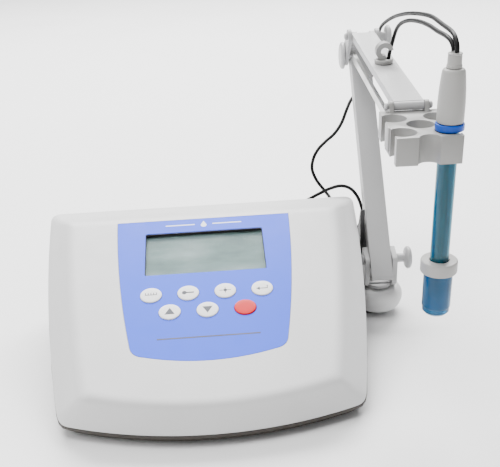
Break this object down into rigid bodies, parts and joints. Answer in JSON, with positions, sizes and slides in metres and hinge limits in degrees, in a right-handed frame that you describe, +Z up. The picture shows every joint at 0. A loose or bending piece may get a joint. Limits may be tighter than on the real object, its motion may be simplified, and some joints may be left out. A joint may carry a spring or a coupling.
{
  "type": "benchtop ph meter",
  "caption": "Benchtop pH meter: wedge-shaped case with display and keypad, and a jointed two-link arm that holds a combination electrode with its soaking bottle.",
  "frame": {"origin": "centre of the bounding box in plan, at the underside of the feet, without the leads and their plugs", "axes": "+Z up from the bench, +X to the right as the user faces the display, +Y to the rear sockets"},
  "size_m": [0.292, 0.2918, 0.2493],
  "materials": {
    "shell_plastic": "fine matt moulding",
    "base_plastic": "matt moulding",
    "label_film": "satin printed film",
    "clear_window": "clear",
    "display_glass": "grey-green display",
    "circuit_board": "solder mask",
    "nickel": "satin nickel",
    "black_plastic": "satin",
    "black_metal": "satin black",
    "arm_plastic": "satin moulding",
    "steel": "drawn",
    "white_plastic": "satin moulding",
    "blue_plastic": "satin",
    "clear_tube": "clear tinted",
    "electrode_glass": "clear",
    "bottle_plastic": "clear tinted",
    "lead_jacket": "smooth",
    "rubber": "matt",
    "key_plastic": "satin",
    "red_key_plastic": "satin"
  },
  "bodies": {
    "case": {"top_shell": "shell_plastic", "base_pan": "base_plastic", "front_label": "label_film", "display_window": "clear_window", "display_module": "display_glass", "key_board": "circuit_board", "main_board": "circuit_board", "electrode_socket": "nickel", "temperature_socket": "black_plastic", "power_socket": "black_plastic", "arm_bracket": "black_metal", "arm_base": "arm_plastic", "foot_front_left": "rubber", "foot_front_right": "rubber", "foot_rear_left": "rubber", "foot_rear_right": "rubber", "case_screw_front_left": "steel", "case_screw_front_right": "steel", "case_screw_rear_left": "steel", "case_screw_rear_right": "steel", "bracket_screw_front": "steel", "bracket_screw_rear": "steel", "electrode_lead_tail": "lead_jacket", "temperature_lead_tail": "lead_jacket", "electrode_plug": "nickel", "temperature_plug": "black_plastic"},
    "swivel_fork": {"swivel_fork": "arm_plastic"},
    "lower_arm": {"lower_arm": "arm_plastic", "electrode_lead_drop": "lead_jacket"},
    "lower_link": {"lower_link": "steel"},
    "lower_knob": {"lower_knob": "arm_plastic"},
    "elbow_block": {"elbow_block": "arm_plastic", "elbow_pin": "arm_plastic", "upper_hinge_pin": "arm_plastic", "electrode_lead_elbow": "lead_jacket"},
    "upper_arm": {"upper_arm": "arm_plastic", "balance_spring": "steel", "lead_clip": "white_plastic", "holder_hinge_pin": "arm_plastic", "electrode_lead_rear_arch": "lead_jacket"},
    "upper_link": {"upper_link": "steel"},
    "electrode_holder": {"electrode_holder": "white_plastic", "electrode_cap": "white_plastic", "strain_relief": "white_plastic", "seal_ring": "blue_plastic", "electrode_body": "clear_tube", "inner_electrode": "electrode_glass", "electrode_lead_front_arch": "lead_jacket", "temperature_lead_arch": "lead_jacket"},
    "soaking_bottle": {"soaking_bottle": "bottle_plastic", "bottle_collar": "white_plastic"},
    "key_ph_mv": {"key_ph_mv": "key_plastic"},
    "key_temp": {"key_temp": "key_plastic"},
    "key_calib": {"key_calib": "key_plastic"},
    "key_enter": {"key_enter": "key_plastic"},
    "key_up": {"key_up": "key_plastic"},
    "key_down": {"key_down": "key_plastic"},
    "key_power": {"key_power": "red_key_plastic"}
  },
  "joints": [
    {"name": "arm_swivel", "type": "hinge", "parent": "case", "child": "swivel_fork", "pos_m": [0.11998, 0.01691, 0.024], "axis": [0, 0, 1], "range_deg": [-30, 0], "deforming": ["electrode_lead_tail"]},
    {"name": "lower_arm_tilt", "type": "hinge", "parent": "swivel_fork", "child": "lower_arm", "pos_m": [0.11989, 0.01301, 0.0485], "axis": [-0.9997, 0.0244, 0], "range_deg": [-36, 6], "deforming": ["electrode_lead_drop"]},
    {"name": "lower_link_tilt", "type": "hinge", "parent": "swivel_fork", "child": "lower_link", "pos_m": [0.12009, 0.02151, 0.0485], "axis": [-0.9997, 0.0244, 0], "range_deg": [-36, 6]},
    {"name": "elbow_level", "type": "hinge", "parent": "lower_arm", "child": "elbow_block", "pos_m": [0.12285, 0.13422, 0.18651], "axis": [-0.9997, 0.0244, 0], "range_deg": [-6, 36], "deforming": ["electrode_lead_elbow"]},
    {"name": "upper_arm_tilt", "type": "hinge", "parent": "elbow_block", "child": "upper_arm", "pos_m": [0.12242, 0.11688, 0.2058], "axis": [0.9997, -0.0244, 0], "range_deg": [-25, 16], "deforming": ["electrode_lead_rear_arch"]},
    {"name": "upper_link_tilt", "type": "hinge", "parent": "elbow_block", "child": "upper_link", "pos_m": [0.12255, 0.12228, 0.1886], "axis": [0.9997, -0.0244, 0], "range_deg": [-25, 16]},
    {"name": "holder_level", "type": "hinge", "parent": "upper_arm", "child": "electrode_holder", "pos_m": [0.11807, -0.06107, 0.1954], "axis": [0.9997, -0.0244, 0], "range_deg": [-16, 25], "deforming": ["electrode_lead_front_arch", "temperature_lead_arch"]},
    {"name": "bottle_slide", "type": "slide", "parent": "electrode_holder", "child": "soaking_bottle", "axis": [0, 0, 1], "range_m": [-0.03, 0]},
    {"name": "lower_knob_turn", "type": "hinge", "parent": "swivel_fork", "child": "lower_knob", "pos_m": [0.13988, 0.01252, 0.0485], "axis": [0.9997, -0.0244, 0], "range_deg": [0, 360]},
    {"name": "key_ph_mv_press", "type": "slide", "parent": "case", "child": "key_ph_mv", "axis": [0, 0.319, -0.9478], "range_m": [0, 0.001], "stiffness_N_per_m": 600},
    {"name": "key_temp_press", "type": "slide", "parent": "case", "child": "key_temp", "axis": [0, 0.319, -0.9478], "range_m": [0, 0.001], "stiffness_N_per_m": 600},
    {"name": "key_calib_press", "type": "slide", "parent": "case", "child": "key_calib", "axis": [0, 0.319, -0.9478], "range_m": [0, 0.001], "stiffness_N_per_m": 600},
    {"name": "key_enter_press", "type": "slide", "parent": "case", "child": "key_enter", "axis": [0, 0.319, -0.9478], "range_m": [0, 0.001], "stiffness_N_per_m": 600},
    {"name": "key_up_press", "type": "slide", "parent": "case", "child": "key_up", "axis": [0, 0.319, -0.9478], "range_m": [0, 0.001], "stiffness_N_per_m": 600},
    {"name": "key_down_press", "type": "slide", "parent": "case", "child": "key_down", "axis": [0, 0.319, -0.9478], "range_m": [0, 0.001], "stiffness_N_per_m": 600},
    {"name": "key_power_press", "type": "slide", "parent": "case", "child": "key_power", "axis": [0, 0.319, -0.9478], "range_m": [0, 0.001], "stiffness_N_per_m": 600}
  ],
  "couplings": [
    {"joint": "lower_link_tilt", "follows": "lower_arm_tilt", "ratio": 1},
    {"joint": "elbow_level", "follows": "lower_arm_tilt", "ratio": -1},
    {"joint": "upper_link_tilt", "follows": "upper_arm_tilt", "ratio": 1},
    {"joint": "holder_level", "follows": "upper_arm_tilt", "ratio": -1}
  ]
}
